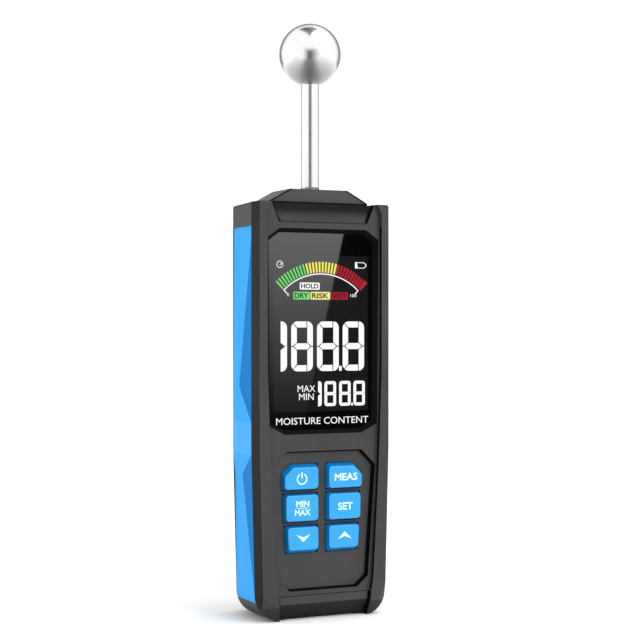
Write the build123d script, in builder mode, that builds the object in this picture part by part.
from build123d import *
import os
from math import sqrt

os.makedirs("parts", exist_ok=True)

# ---------------------------------------------------------------------------
# Pinless moisture meter: a slim housing that stands on two feet, with a ball
# sensor on a rod, a display and six keys.  +X is to the right of someone who
# reads the display, +Y points from the display to the back, +Z is up.  The
# origin is under the middle of the housing, on the surface it stands on.
# All sizes are in millimetres.
# ---------------------------------------------------------------------------

# Overall sizes
body_width = 48.6
body_depth = 27.0
body_height = 133.8
total_height = 193.4

# Housing outline, seen from the front
foot_width = 45.8
taper_height = 55.0
corner_radius = 8.5
top_corner_radius = 0.8

# Housing section, seen from above
parting_depth = 4.0
front_chamfer = 1.45
rear_chamfer_width = 5.8
rear_chamfer_depth = 7.8
rear_bottom_rise = 1.6
rear_top_drop = 2.3
foot_facet_height = 4.9
foot_facet_depth = 1.5
front_corner_drop = 2.5
foot_corner_drop = 1.1
rear_corner_drop = 3.0
back_top_drop = 0.5

# Walls and clearances
front_wall = 1.8
side_wall = 1.8
rear_wall = 1.8
top_wall = 2.4
grip_thickness = 1.5
slip = 0.1
key_clearance = 0.15
door_clearance = 0.2

# Raised rails and the recessed panel between them
rail_width = 4.0
rail_step = 1.5
rail_flare_height = 3.0
rail_flare = 2.1
rail_foot_inner = 15.4
rail_low_height = 13.0
rail_low_inner = 17.3
rail_mid_height = 49.0
rail_mid_inner = 19.2
rail_high_height = 80.0
rail_foot_step = 0.8

# Scoop above the window
scoop_height = 6.3
scoop_low_half = 15.8
scoop_high_half = 18.2
scoop_deep_height = 3.5
scoop_depth = 1.25
scoop_lip_depth = 0.6
strip_drop = 0.4

# Lip between the feet
lip_gap_width = 0.5
lip_height = 7.8
lip_edge_height = 5.2
lip_bulge = 0.4
underside_rise = 0.6
underside_half = 12.5

# Display window
window_top = 125.5
window_bottom = 59.4
window_half_top = 15.4
window_half_upper = 20.0
window_half_lower = 19.5
window_half_bottom = 13.7
window_upper_corner = 3.2
window_lower_corner = 3.0
window_bevel = 1.35
panel_overlap = 1.2
lens_thickness = 1.5

# Display module
gasket_thickness = 0.5
glass_thickness = 1.8
backlight_thickness = 2.0
glass_half_width = 18.2
glass_bottom = 64.0
glass_top = 119.5
ledge_height = 2.8
holder_wall = 1.5

# Keypad opening and keys
keypad_top = 54.0
keypad_bottom = 9.3
keypad_half_top = 13.6
keypad_half_upper = 18.6
keypad_half_lower = 16.0
keypad_half_bottom = 12.0
keypad_upper_corner = 5.0
keypad_lower_corner = 3.4
keypad_panel_thickness = 1.5
key_height = 2.15
key_gap_half = 2.07
key_outer = 13.67
key_pitch_inset = 0.5
key_skirt = 0.55
key_long_skirt = 1.2
key_chamfer = 3.0
key_corner = 1.1
key_edge = 0.35
key_taper = 0.1
key_low_taper = 0.45
key_travel = 0.9
key_stop_gap = 0.1
key_flange = 0.4
key_flange_thickness = 0.8
key_stem_diameter = 5.0
pill_diameter = 4.0
pill_thickness = 0.4
mat_thickness = 0.8
mat_margin = 2.5
row_tops = (48.6, 39.8, 29.5)
row_bottoms = (42.0, 31.8, 22.6)

# Circuit board
board_thickness = 1.6
board_half_width = 19.2
board_bottom = 11.0
board_top = 121.0
board_screw_x = 17.8
board_screw_z = 56.0
board_boss_diameter = 4.4
board_screw_diameter = 1.8
board_screw_head = 3.6
board_screw_head_height = 1.0
chip_size = 8.0
chip_height = 1.0

# Housing screws
boss_diameter = 5.4
column_diameter = 6.2
screw_diameter = 2.2
screw_clearance_hole = 2.8
screw_head_diameter = 4.6
screw_head_height = 1.8
screw_pocket_diameter = 5.0
screw_pocket_floor = 3.0
column_front = -1.0
screw_upper_x = 18.0
screw_upper_drop = 6.8
screw_lower_x = 16.3
screw_lower_z = 7.5

# Probe: hood, rod and ball
ball_diameter = 20.6
rod_diameter = 6.0
rod_y = -1.5
rod_tail = 6.5
spigot_diameter = 4.4
spigot_length = 6.0
hood_half_width = 17.5
hood_top_half = 10.2
hood_skirt = 1.0
hood_rise = 4.6
hood_seat_depth = 1.4
hood_front_setback = 5.0
bush_diameter = 8.4
bush_flange_diameter = 12.0
bush_flange_height = 1.0
washer_diameter = 11.0
washer_thickness = 0.8
nut_across_flats = 9.0
nut_height = 3.8
contact_width = 3.0
contact_thickness = 0.4
contact_foot = 9.0

# Side grips
grip_top = 126.1
grip_bottom = 6.0
waist_top = 63.3
waist_bottom = 53.2
grip_step_bottom = 46.6
grip_upper_inset = 0.35
grip_lower_inset = 0.45
grip_foot_inset = 0.1
grip_facet_depth = 0.85
grip_peak_height = 74.7
grip_peak_setback = 10.1
grip_low_peak_setback = 8.8
grip_facet_shoulder = 4.5

# Battery bay
cell_diameter = 10.5
cell_length = 44.5
cell_button_diameter = 3.8
cell_button_height = 0.8
cell_gap = 0.2
cell_end_space = 2.5
bay_side_gap = 0.15
bay_wall = 1.5
bay_bottom = 16.5
bay_floor = 1.3
plate_thickness = 0.5
door_lap = 0.8
door_end_lap = 2.2

# ---------------------------------------------------------------------------
# Derived positions
# ---------------------------------------------------------------------------
half_width = body_width / 2
half_foot = foot_width / 2
y_front = -body_depth / 2
y_back = body_depth / 2
y_parting = y_front + parting_depth
y_flat_back = y_back - rear_chamfer_depth
y_panel = y_front + rail_step
y_wall_back = y_panel + front_wall

y_lens_back = y_wall_back + lens_thickness
y_gasket_back = y_lens_back + gasket_thickness
y_glass_back = y_gasket_back + glass_thickness
y_board = y_glass_back + backlight_thickness
y_board_back = y_board + board_thickness
y_keypad_back = y_wall_back + keypad_panel_thickness

shell_thickness = grip_thickness + side_wall
top_back = body_height - back_top_drop
hood_seat = body_height - hood_seat_depth
cavity_top = hood_seat - top_wall
strip_top = body_height - strip_drop

y_bay_back = y_back - rear_wall
y_cells = y_bay_back - cell_diameter / 2 - cell_gap
y_bay_floor = y_cells - cell_diameter / 2 - cell_gap
cell_pitch = cell_diameter + cell_gap
bay_half = cell_pitch + cell_diameter / 2 + bay_side_gap
bay_top = bay_bottom + cell_length + cell_button_height + 2 * (cell_end_space - 0.4)

ball_z = total_height - ball_diameter / 2
rod_end = cavity_top - rod_tail
rod_top = ball_z - sqrt((ball_diameter / 2) ** 2 - (rod_diameter / 2) ** 2)


def half_at(z):
    """Half width of the housing at height z: straight above the taper, narrower below."""
    if z >= taper_height:
        return half_width
    return half_foot + (half_width - half_foot) * z / taper_height


def outline(points, radius, y):
    """Closed outline of (x, z) points with rounded corners, standing at depth y."""
    with BuildSketch(Plane.XZ.offset(-y)) as sketch:
        with BuildLine():
            FilletPolyline(*points, radius=radius, close=True)
        make_face()
    return sketch.sketch


def grown(points, amount, y):
    """Closed outline of (x, z) points moved out by an amount, with sharp corners."""
    with BuildSketch(Plane.XZ.offset(-y)) as sketch:
        with BuildLine():
            Polyline(*points, close=True)
        make_face()
        if amount != 0:
            offset(amount=amount, kind=Kind.INTERSECTION)
    return sketch.sketch


def both_sides(right_side):
    """Right half of a symmetrical outline, joined to its mirror image."""
    return right_side + [(-x, z) for x, z in reversed(right_side)]


def housing_section(y, inset, bottom, top, radius):
    """Outline of the whole housing at depth y, moved in from the sides by an inset."""
    right = [
        (half_at(bottom) - inset, bottom),
        (half_width - inset, taper_height),
        (half_width - inset, top),
    ]
    radii = [radius, 0, top_corner_radius, top_corner_radius, 0, radius]
    return outline(both_sides(right), radii, y)


def block(x, y, z, mode=Mode.ADD):
    """Box between a lower and an upper limit along each axis."""
    with Locations(((x[0] + x[1]) / 2, (y[0] + y[1]) / 2, (z[0] + z[1]) / 2)):
        Box(x[1] - x[0], y[1] - y[0], z[1] - z[0], mode=mode)


def peg(x, z, diameter, y, mode=Mode.ADD):
    """Round bar along Y between two depths."""
    with Locations((x, (y[0] + y[1]) / 2, z)):
        Cylinder(diameter / 2, y[1] - y[0], rotation=(90, 0, 0), mode=mode)


def post(x, y, diameter, z, mode=Mode.ADD):
    """Round bar along Z between two heights."""
    with Locations((x, y, (z[0] + z[1]) / 2)):
        Cylinder(diameter / 2, z[1] - z[0], mode=mode)


def side_profile(points, x):
    """Closed outline of (y, z) points, standing in the plane at x."""
    with BuildSketch(Plane.YZ.offset(x)) as sketch:
        with BuildLine():
            Polyline(*points, close=True)
        make_face()
    return sketch.sketch


screws = [
    (side * x, z)
    for side in (-1, 1)
    for x, z in ((screw_upper_x, body_height - screw_upper_drop), (screw_lower_x, screw_lower_z))
]

window = both_sides(
    [
        (window_half_bottom, window_bottom),
        (window_half_lower, window_bottom + window_lower_corner),
        (window_half_upper, window_top - window_upper_corner),
        (window_half_top, window_top),
    ]
)

keypad = both_sides(
    [
        (keypad_half_bottom, keypad_bottom),
        (keypad_half_lower, keypad_bottom + keypad_lower_corner),
        (keypad_half_upper, keypad_top - keypad_upper_corner),
        (keypad_half_top, keypad_top),
    ]
)

# ---------------------------------------------------------------------------
# Outer envelope of the whole housing, and the hollow inside it
# ---------------------------------------------------------------------------
with BuildPart() as envelope:
    facet_inset = front_chamfer * (1 - foot_facet_depth / parting_depth)
    sections = [
        (y_front, front_chamfer, foot_facet_height, body_height, corner_radius - front_corner_drop),
        (y_front + foot_facet_depth, facet_inset, 0, body_height, corner_radius - foot_corner_drop),
        (y_parting, 0, 0, body_height, corner_radius),
        (y_flat_back, 0, 0, top_back, corner_radius),
        (
            y_back,
            rear_chamfer_width,
            rear_bottom_rise,
            body_height - rear_top_drop,
            corner_radius - rear_corner_drop,
        ),
    ]
    for section in sections:
        add(housing_section(*section))
    loft(ruled=True)

y_cavity_turn = y_flat_back + 1.4
slant = (y_bay_back - y_flat_back) / rear_chamfer_depth
rear_inset = rear_chamfer_width * slant + 1.25 * side_wall
cavity_sections = [
    (y_cavity_turn, shell_thickness, shell_thickness, cavity_top, corner_radius - shell_thickness),
    (
        y_bay_back,
        rear_inset,
        rear_bottom_rise * slant + side_wall + 0.3,
        cavity_top - 0.8,
        corner_radius - shell_thickness - 0.6,
    ),
]

with BuildPart() as cavity:
    extrude(housing_section(y_wall_back, *cavity_sections[0][1:]), amount=-(y_cavity_turn - y_wall_back))
    for section in cavity_sections:
        add(housing_section(*section))
    loft(ruled=True)

# Openings of the battery bay, shared by the rear housing and its door
door_half = bay_half + door_lap
door_bottom = bay_bottom - door_end_lap
door_top = bay_top + door_end_lap

# ---------------------------------------------------------------------------
# Front housing: rails, recessed panel, scoop, lip and screw bosses
# ---------------------------------------------------------------------------
rail_inner = half_width - rail_width
recess = both_sides(
    [
        (rail_low_inner - rail_foot_step, lip_height),
        (rail_low_inner, rail_low_height),
        (rail_mid_inner, rail_mid_height),
        (rail_inner, rail_high_height),
        (rail_inner, body_height - rail_flare_height),
        (rail_inner - rail_flare, body_height + 1),
    ]
)
foot_inner = [(rail_low_inner - rail_foot_step, lip_height), (rail_foot_inner, -1)]
lip_gap = foot_inner + [(x - lip_gap_width, z) for x, z in reversed(foot_inner)]
scoop_base = body_height - scoop_height
scoop_arc = [
    (y_panel, scoop_base),
    (y_panel + scoop_depth, scoop_base + scoop_deep_height),
    (y_panel + scoop_lip_depth, strip_top),
]
scoop_rim = [
    (y_panel + scoop_lip_depth, strip_top),
    (y_parting + 1, strip_top),
    (y_parting + 1, body_height + 2),
    (y_front - 1, body_height + 2),
    (y_front - 1, scoop_base),
    (y_panel, scoop_base),
]
scoop_width = both_sides(
    [
        (scoop_low_half, scoop_base),
        (scoop_high_half, strip_top),
        (scoop_high_half, body_height + 3),
    ]
)
lip_profile = [
    (y_front - 1, lip_height),
    (y_panel, lip_height),
    (y_panel - lip_bulge, lip_edge_height),
    (y_parting, underside_rise),
    (y_parting, -1),
    (y_front - 1, -1),
]

with BuildPart() as scoop:
    with BuildSketch(Plane.YZ.offset(-body_width)) as scoop_side:
        with BuildLine():
            ThreePointArc(*scoop_arc)
            Polyline(*scoop_rim)
        make_face()
    extrude(scoop_side.sketch, amount=2 * body_width)
    extrude(outline(scoop_width, 0, y_front - 1), amount=-body_depth, mode=Mode.INTERSECT)

with BuildPart() as lip_front:
    extrude(side_profile(lip_profile, -half_width), amount=body_width)
    extrude(outline(both_sides(foot_inner), 0, y_front - 1), amount=-body_depth, mode=Mode.INTERSECT)

with BuildPart() as front_housing:
    add(envelope.part)
    split(bisect_by=Plane.XZ.offset(-y_parting), keep=Keep.TOP)
    extrude(outline(recess, 0, y_front - 1), amount=-(rail_step + 1), mode=Mode.SUBTRACT)
    add(scoop.part, mode=Mode.SUBTRACT)
    add(lip_front.part, mode=Mode.SUBTRACT)
    for side in (-1, 1):
        gap = [(side * x, z) for x, z in lip_gap]
        extrude(outline(gap, 0, y_front - 1), amount=-(parting_depth + 2), mode=Mode.SUBTRACT)
    add(cavity.part, mode=Mode.SUBTRACT)
    for x, z in screws:
        peg(x, z, boss_diameter, (y_wall_back - 0.5, column_front))
        peg(x, z, screw_diameter, (y_wall_back + 1.5, column_front), mode=Mode.SUBTRACT)
    for side in (-1, 1):
        peg(side * board_screw_x, board_screw_z, board_boss_diameter, (y_wall_back - 0.5, y_board))
        peg(
            side * board_screw_x,
            board_screw_z,
            board_screw_diameter,
            (y_wall_back + 0.8, y_board),
            mode=Mode.SUBTRACT,
        )
    add([grown(window, 0, y_panel), grown(window, -window_bevel, y_wall_back)])
    loft(ruled=True, mode=Mode.SUBTRACT)
    extrude(grown(window, 0, y_panel), amount=rail_step + 1, mode=Mode.SUBTRACT)
    extrude(grown(keypad, 0, y_front - 1), amount=-(rail_step + front_wall + 1), mode=Mode.SUBTRACT)
front_housing.part.label = "front_housing"
export_step(front_housing.part, "parts/front_housing.step")

# ---------------------------------------------------------------------------
# Rear housing: side recesses for the grips, seat for the hood, battery bay
# ---------------------------------------------------------------------------
grip_recess = [
    (half_at(grip_bottom) - grip_thickness, grip_bottom),
    (half_width + 5, grip_bottom),
    (half_width + 5, grip_top),
    (half_width - grip_thickness, grip_top),
    (half_width - grip_thickness, taper_height),
]

with BuildPart() as rear_hollow:
    add(cavity.part)
    for x, z in screws:
        peg(x, z, column_diameter, (column_front, y_back), mode=Mode.SUBTRACT)
    block(
        (-bay_half - bay_wall, bay_half + bay_wall),
        (y_bay_floor - bay_floor, y_back),
        (bay_bottom - bay_wall - 1, bay_top + bay_wall + 1),
        mode=Mode.SUBTRACT,
    )

with BuildPart() as rear_housing:
    add(envelope.part)
    split(bisect_by=Plane.XZ.offset(-y_parting), keep=Keep.BOTTOM)
    for side in (-1, 1):
        pocket = [(side * x, z) for x, z in grip_recess]
        extrude(outline(pocket, 0, y_parting - 1), amount=-(y_flat_back - y_parting + 1), mode=Mode.SUBTRACT)
    add(rear_hollow.part, mode=Mode.SUBTRACT)
    for x, z in screws:
        peg(x, z, screw_pocket_diameter, (screw_pocket_floor, y_back + 1), mode=Mode.SUBTRACT)
        peg(x, z, screw_clearance_hole, (column_front - 1, y_back), mode=Mode.SUBTRACT)
    block((-bay_half, bay_half), (y_bay_floor, y_back + 1), (bay_bottom, bay_top), mode=Mode.SUBTRACT)
    block(
        (-door_half - door_clearance, door_half + door_clearance),
        (y_bay_back, y_back + 1),
        (door_bottom - door_clearance, door_top + door_clearance),
        mode=Mode.SUBTRACT,
    )
    block(
        (-hood_half_width, hood_half_width),
        (y_front + hood_front_setback, y_flat_back),
        (hood_seat, body_height + 1),
        mode=Mode.SUBTRACT,
    )
    block(
        (-scoop_high_half, scoop_high_half),
        (y_parting - 1, y_front + hood_front_setback),
        (strip_top, body_height + 1),
        mode=Mode.SUBTRACT,
    )
    post(0, rod_y, bush_diameter, (cavity_top - 1, hood_seat + 1), mode=Mode.SUBTRACT)
    block(
        (-underside_half, underside_half),
        (y_parting - 1, y_back + 1),
        (-1, underside_rise),
        mode=Mode.SUBTRACT,
    )
rear_housing.part.label = "rear_housing"
export_step(rear_housing.part, "parts/rear_housing.step")

# ---------------------------------------------------------------------------
# Side grips: faceted blue plates, flush with the sides of the housing
# ---------------------------------------------------------------------------
grip_face = [
    (half_width + 3, grip_top + 1),
    (half_width - grip_upper_inset, grip_top + 1),
    (half_width, waist_top),
    (half_at(waist_bottom), waist_bottom),
    (half_at(grip_step_bottom) - grip_lower_inset, grip_step_bottom),
    (half_at(grip_bottom) - grip_foot_inset, grip_bottom - 1),
    (half_width + 3, grip_bottom - 1),
]
face_top = half_width - grip_upper_inset
face_peak = half_width - grip_upper_inset * (grip_peak_height - waist_top) / (grip_top - waist_top)
face_step = half_at(grip_step_bottom) - grip_lower_inset
face_foot = half_at(grip_bottom) - grip_foot_inset
proud = 2.0
upper_facet = [
    (face_top, y_parting, grip_top),
    (face_peak, y_parting + grip_peak_setback, grip_peak_height),
    (half_width, y_parting, waist_top),
    (half_width - grip_facet_depth, y_parting, waist_top + grip_facet_shoulder),
    (face_top + proud, y_parting - 0.5, grip_top),
    (face_peak + proud, y_parting + grip_peak_setback, grip_peak_height),
    (half_width + proud, y_parting - 0.5, waist_top),
]
lower_facet = [
    (half_at(waist_bottom), y_parting, waist_bottom),
    (face_step, y_parting + grip_low_peak_setback, grip_step_bottom),
    (face_foot, y_parting, grip_bottom),
    (face_step - grip_facet_depth + grip_lower_inset, y_parting, grip_step_bottom + 1.5),
    (half_at(waist_bottom) + proud, y_parting - 0.5, waist_bottom),
    (face_step + proud, y_parting + grip_low_peak_setback, grip_step_bottom),
    (face_foot + proud, y_parting - 0.5, grip_bottom),
]

with BuildPart() as right_side_grip:
    add(envelope.part)
    extrude(outline(grip_recess, 0, y_parting), amount=-(y_flat_back - y_parting), mode=Mode.INTERSECT)
    extrude(outline(grip_face, 0, y_parting - 1), amount=-body_depth, mode=Mode.SUBTRACT)
    ConvexPolyhedron(upper_facet, mode=Mode.SUBTRACT)
    ConvexPolyhedron(lower_facet, mode=Mode.SUBTRACT)
right_side_grip.part.label = "right_side_grip"
export_step(right_side_grip.part, "parts/right_side_grip.step")

with BuildPart() as left_side_grip:
    mirror(right_side_grip.part, about=Plane.YZ)
left_side_grip.part.label = "left_side_grip"
export_step(left_side_grip.part, "parts/left_side_grip.step")

# ---------------------------------------------------------------------------
# Probe: hood on top of the housing, rod through it, polished ball on the rod
# ---------------------------------------------------------------------------
hood_profile = both_sides(
    [
        (hood_half_width, hood_seat),
        (hood_half_width, strip_top + hood_skirt),
        (hood_top_half, body_height + hood_rise),
    ]
)

with BuildPart() as probe_hood:
    extrude(
        outline(hood_profile, 0, y_front + hood_front_setback),
        amount=-(y_flat_back - y_front - hood_front_setback),
    )
    post(0, rod_y, rod_diameter, (hood_seat - 1, body_height + hood_rise + 1), mode=Mode.SUBTRACT)
    post(
        0,
        rod_y,
        bush_flange_diameter,
        (hood_seat - 1, hood_seat + bush_flange_height),
        mode=Mode.SUBTRACT,
    )
probe_hood.part.label = "probe_hood"
export_step(probe_hood.part, "parts/probe_hood.step")

with BuildPart() as probe_rod:
    post(0, rod_y, rod_diameter, (rod_end, rod_top))
    post(0, rod_y, spigot_diameter, (rod_top, rod_top + spigot_length))
probe_rod.part.label = "probe_rod"
export_step(probe_rod.part, "parts/probe_rod.step")

with BuildPart() as sensor_ball:
    with Locations((0, rod_y, ball_z)):
        Sphere(ball_diameter / 2)
    post(0, rod_y, rod_diameter, (ball_z - ball_diameter, rod_top), mode=Mode.SUBTRACT)
    post(0, rod_y, spigot_diameter, (rod_top - 1, rod_top + spigot_length), mode=Mode.SUBTRACT)
sensor_ball.part.label = "sensor_ball"
export_step(sensor_ball.part, "parts/sensor_ball.step")

with BuildPart() as rod_bush:
    post(0, rod_y, bush_diameter, (cavity_top, hood_seat))
    post(0, rod_y, bush_flange_diameter, (hood_seat, hood_seat + bush_flange_height))
    post(0, rod_y, rod_diameter, (cavity_top - 1, hood_seat + 2), mode=Mode.SUBTRACT)
rod_bush.part.label = "rod_bush"
export_step(rod_bush.part, "parts/rod_bush.step")

nut_top = cavity_top - washer_thickness
with BuildPart() as rod_washer:
    post(0, rod_y, washer_diameter, (nut_top, cavity_top))
    post(0, rod_y, rod_diameter, (nut_top - 1, cavity_top + 1), mode=Mode.SUBTRACT)
rod_washer.part.label = "rod_washer"
export_step(rod_washer.part, "parts/rod_washer.step")

with BuildPart() as rod_nut:
    with BuildSketch(Plane((0, rod_y, nut_top - nut_height))):
        RegularPolygon(nut_across_flats / 2, 6, major_radius=False)
        Circle(rod_diameter / 2, mode=Mode.SUBTRACT)
    extrude(amount=nut_height)
rod_nut.part.label = "rod_nut"
export_step(rod_nut.part, "parts/rod_nut.step")

with BuildPart() as sensor_contact:
    block(
        (-contact_width / 2, contact_width / 2),
        (y_board_back, y_board_back + contact_thickness),
        (board_top - contact_foot, rod_end),
    )
    block(
        (-contact_width / 2, contact_width / 2),
        (y_board_back, rod_y + rod_diameter / 2),
        (rod_end - contact_thickness, rod_end),
    )
sensor_contact.part.label = "sensor_contact"
export_step(sensor_contact.part, "parts/sensor_contact.step")

# ---------------------------------------------------------------------------
# Display: lens, gasket, glass, backlight, connector strip and holder
# ---------------------------------------------------------------------------
with BuildPart() as display_lens:
    extrude(grown(window, panel_overlap - window_bevel, y_wall_back), amount=-lens_thickness)
display_lens.part.label = "display_lens"
export_step(display_lens.part, "parts/display_lens.step")

holder_half = glass_half_width + slip + holder_wall
holder_z = (glass_bottom - slip - holder_wall, glass_top + slip + holder_wall)

with BuildPart() as lens_gasket:
    block(
        (-glass_half_width, glass_half_width),
        (y_lens_back, y_gasket_back),
        (glass_bottom, glass_top),
    )
    block(
        (-glass_half_width + 1.0, glass_half_width - 1.0),
        (y_lens_back - 1, y_gasket_back + 1),
        (glass_bottom + 1.6, glass_top - 1.6),
        mode=Mode.SUBTRACT,
    )
lens_gasket.part.label = "lens_gasket"
export_step(lens_gasket.part, "parts/lens_gasket.step")

with BuildPart() as lcd_glass:
    block((-glass_half_width, glass_half_width), (y_gasket_back, y_glass_back), (glass_bottom, glass_top))
lcd_glass.part.label = "lcd_glass"
export_step(lcd_glass.part, "parts/lcd_glass.step")

with BuildPart() as lcd_backlight:
    block(
        (-glass_half_width, glass_half_width),
        (y_glass_back, y_board),
        (glass_bottom + ledge_height, glass_top),
    )
lcd_backlight.part.label = "lcd_backlight"
export_step(lcd_backlight.part, "parts/lcd_backlight.step")

with BuildPart() as lcd_connector_strip:
    block(
        (-glass_half_width + 2, glass_half_width - 2),
        (y_glass_back, y_board),
        (glass_bottom + 0.4, glass_bottom + ledge_height - 0.4),
    )
lcd_connector_strip.part.label = "lcd_connector_strip"
export_step(lcd_connector_strip.part, "parts/lcd_connector_strip.step")

with BuildPart() as lcd_holder:
    block((-holder_half, holder_half), (y_lens_back, y_board), holder_z)
    block(
        (-glass_half_width - slip, glass_half_width + slip),
        (y_lens_back - 1, y_board + 1),
        (glass_bottom - slip, glass_top + slip),
        mode=Mode.SUBTRACT,
    )
lcd_holder.part.label = "lcd_holder"
export_step(lcd_holder.part, "parts/lcd_holder.step")

# ---------------------------------------------------------------------------
# Keys: two columns of three, each with a carbon pill that meets the board
# ---------------------------------------------------------------------------
def key_outlines(row):
    """Top and base outlines of the right-hand key in a row, as (x, z) points."""
    top = row_tops[row]
    bottom = row_bottoms[row]
    outer_top = key_outer - row * key_pitch_inset
    outer_bottom = outer_top - (key_low_taper if row == 2 else key_taper)
    above = key_long_skirt if row == 0 else key_skirt
    below = key_long_skirt if row == 2 else key_skirt
    cut = key_chamfer if row == 0 else 0.0
    face = [(key_gap_half, bottom), (outer_bottom, bottom)]
    base = [(key_gap_half - key_skirt, bottom - below), (outer_bottom + key_skirt, bottom - below)]
    if cut:
        face += [(outer_top, top - cut), (outer_top - cut, top)]
        base += [(outer_top + key_skirt, top + above - cut), (outer_top + key_skirt - cut, top + above)]
    else:
        face += [(outer_top, top)]
        base += [(outer_top + key_skirt, top + above)]
    face += [(key_gap_half, top)]
    base += [(key_gap_half - key_skirt, top + above)]
    return face, base


key_names = (("key_power", "key_measure"), ("key_min_max", "key_set"), ("key_down", "key_up"))
key_list = []
for row, names in enumerate(key_names):
    for column, key_name in enumerate(names):
        side = (-1, 1)[column]
        face, base = key_outlines(row)
        centre_x = side * (key_gap_half + key_outer) / 2
        centre_z = (row_tops[row] + row_bottoms[row]) / 2
        face = [(side * x, z) for x, z in face]
        base = [(side * x, z) for x, z in base]
        key_list.append((key_name, face, base, centre_x, centre_z))

with BuildPart() as keypad_panel:
    extrude(grown(keypad, panel_overlap, y_wall_back), amount=-keypad_panel_thickness)
    for key_name, face, base, x, z in key_list:
        extrude(
            grown(base, key_clearance, y_wall_back - 1),
            amount=-(keypad_panel_thickness + 2),
            mode=Mode.SUBTRACT,
        )
keypad_panel.part.label = "keypad_panel"
export_step(keypad_panel.part, "parts/keypad_panel.step")

y_flange = y_keypad_back + key_stop_gap
y_flange_back = y_flange + key_flange_thickness
y_mat = y_board - mat_thickness
y_pill_back = y_board - key_travel - key_stop_gap
y_stem_back = y_pill_back - pill_thickness

with BuildPart() as keypad_mat:
    block(
        (-key_outer - mat_margin, key_outer + mat_margin),
        (y_mat, y_board),
        (row_bottoms[2] - mat_margin, row_tops[0] + mat_margin),
    )
    for key_name, face, base, x, z in key_list:
        peg(x, z, key_stem_diameter + 0.6, (y_mat - 1, y_board + 1), mode=Mode.SUBTRACT)
keypad_mat.part.label = "keypad_mat"
export_step(keypad_mat.part, "parts/keypad_mat.step")

for key_name, face, base, x, z in key_list:
    with BuildPart() as key:
        extrude(outline(base, key_corner, y_wall_back), amount=-(y_flange - y_wall_back))
        add([outline(base, key_corner, y_wall_back), outline(face, key_corner, y_wall_back - key_height)])
        loft(ruled=True)
        fillet(key.faces().sort_by(Axis.Y)[0].edges(), key_edge)
        extrude(grown(base, key_flange, y_flange), amount=-key_flange_thickness)
        peg(x, z, key_stem_diameter, (y_flange_back, y_stem_back))
    key.part.label = key_name
    export_step(key.part, "parts/" + key_name + ".step")
    with BuildPart() as pill:
        peg(x, z, pill_diameter, (y_stem_back, y_pill_back))
    pill.part.label = key_name + "_pill"
    export_step(pill.part, "parts/" + key_name + "_pill.step")

# ---------------------------------------------------------------------------
# Circuit board and what it carries
# ---------------------------------------------------------------------------
with BuildPart() as main_board:
    block((-board_half_width, board_half_width), (y_board, y_board_back), (board_bottom, board_top))
    for side in (-1, 1):
        peg(
            side * board_screw_x,
            board_screw_z,
            board_screw_diameter,
            (y_board - 1, y_board_back + 1),
            mode=Mode.SUBTRACT,
        )
main_board.part.label = "main_board"
export_step(main_board.part, "parts/main_board.step")

with BuildPart() as processor_chip:
    block(
        (-chip_size / 2, chip_size / 2),
        (y_board_back, y_board_back + chip_height),
        (board_top - 30, board_top - 30 + chip_size),
    )
processor_chip.part.label = "processor_chip"
export_step(processor_chip.part, "parts/processor_chip.step")

with BuildPart() as board_components:
    for step in range(4):
        for side in (-1, 1):
            x = side * (7 + 2.6 * step)
            z = board_top - 20 - 6 * (step % 2)
            block((x - 0.8, x + 0.8), (y_board_back, y_board_back + 0.7), (z - 1.5, z + 1.5))
board_components.part.label = "board_components"
export_step(board_components.part, "parts/board_components.step")

with BuildPart() as board_screws:
    for side in (-1, 1):
        peg(
            side * board_screw_x,
            board_screw_z,
            board_screw_head,
            (y_board_back, y_board_back + board_screw_head_height),
        )
        peg(side * board_screw_x, board_screw_z, board_screw_diameter, (y_wall_back + 1.3, y_board_back))
board_screws.part.label = "board_screws"
export_step(board_screws.part, "parts/board_screws.step")

with BuildPart() as housing_screws:
    for x, z in screws:
        peg(x, z, screw_diameter, (y_wall_back + 2.5, screw_pocket_floor))
        peg(x, z, screw_head_diameter, (screw_pocket_floor, screw_pocket_floor + screw_head_height))
        with Locations((x, screw_pocket_floor + screw_head_height, z)):
            Box(2.6, 1.6, 0.6, mode=Mode.SUBTRACT)
            Box(0.6, 1.6, 2.6, mode=Mode.SUBTRACT)
housing_screws.part.label = "housing_screws"
export_step(housing_screws.part, "parts/housing_screws.step")

# ---------------------------------------------------------------------------
# Battery bay: three cells side by side, end contacts and a hinged door
# ---------------------------------------------------------------------------
cell_low = bay_bottom + cell_end_space - 0.4
cell_xs = [step * cell_pitch for step in (-1, 0, 1)]

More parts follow.
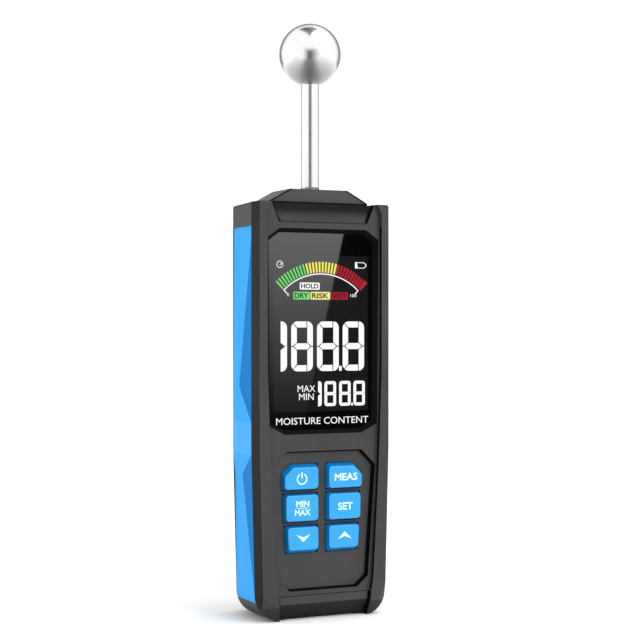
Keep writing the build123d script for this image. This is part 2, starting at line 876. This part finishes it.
with BuildPart() as battery_cells:
    for index, x in enumerate(cell_xs):
        low = cell_low if index % 2 == 0 else cell_low + cell_button_height
        button = low + cell_length if index % 2 == 0 else low - cell_button_height
        post(x, y_cells, cell_diameter, (low, low + cell_length))
        post(x, y_cells, cell_button_diameter, (button, button + cell_button_height))
battery_cells.part.label = "battery_cells"
export_step(battery_cells.part, "parts/battery_cells.step")

with BuildPart() as battery_contact_plates:
    for low in (bay_bottom, bay_top - plate_thickness):
        block(
            (-bay_half + 0.3, bay_half - 0.3),
            (y_bay_floor + 0.5, y_bay_back - 1.0),
            (low, low + plate_thickness),
        )
battery_contact_plates.part.label = "battery_contact_plates"
export_step(battery_contact_plates.part, "parts/battery_contact_plates.step")

cell_top = cell_low + cell_length + cell_button_height
spring_low = (bay_bottom + plate_thickness, cell_low)
spring_high = (cell_top, bay_top - plate_thickness)
with BuildPart() as battery_springs:
    for x in cell_xs:
        for low, high in (spring_low, spring_high):
            rise = high - low
            leaf = [
                (x - 3.2, low),
                (x - 2.6, low),
                (x, high - 0.4),
                (x + 2.6, low),
                (x + 3.2, low),
                (x + 0.6, high),
                (x - 0.6, high),
            ]
            if low == spring_high[0]:
                leaf = [(px, low + high - pz) for px, pz in leaf]
            extrude(grown(leaf, 0, y_cells - 1.5), amount=-3.0)
battery_springs.part.label = "battery_springs"
export_step(battery_springs.part, "parts/battery_springs.step")

y_hinge = (y_bay_back + y_back) / 2
hinge_radius = (y_back - y_bay_back) / 2 - 0.05
z_hinge = door_bottom + hinge_radius
with BuildPart() as battery_door:
    block((-door_half, door_half), (y_hinge - hinge_radius, y_back), (z_hinge, door_top))
    with Locations((0, y_hinge, z_hinge)):
        Cylinder(hinge_radius, 2 * door_half, rotation=(0, 90, 0))
    with BuildSketch(Plane.XZ.offset(-y_back)):
        with Locations((0, door_top - 5)):
            SlotOverall(11, 2.4)
    extrude(amount=-0.6, mode=Mode.SUBTRACT)
    for step in range(4):
        block(
            (-8, 8),
            (y_back - 0.35, y_back + 1),
            (door_top - 10 - 1.8 * step, door_top - 9.2 - 1.8 * step),
            mode=Mode.SUBTRACT,
        )
battery_door.part.label = "battery_door"
export_step(battery_door.part, "parts/battery_door.step")
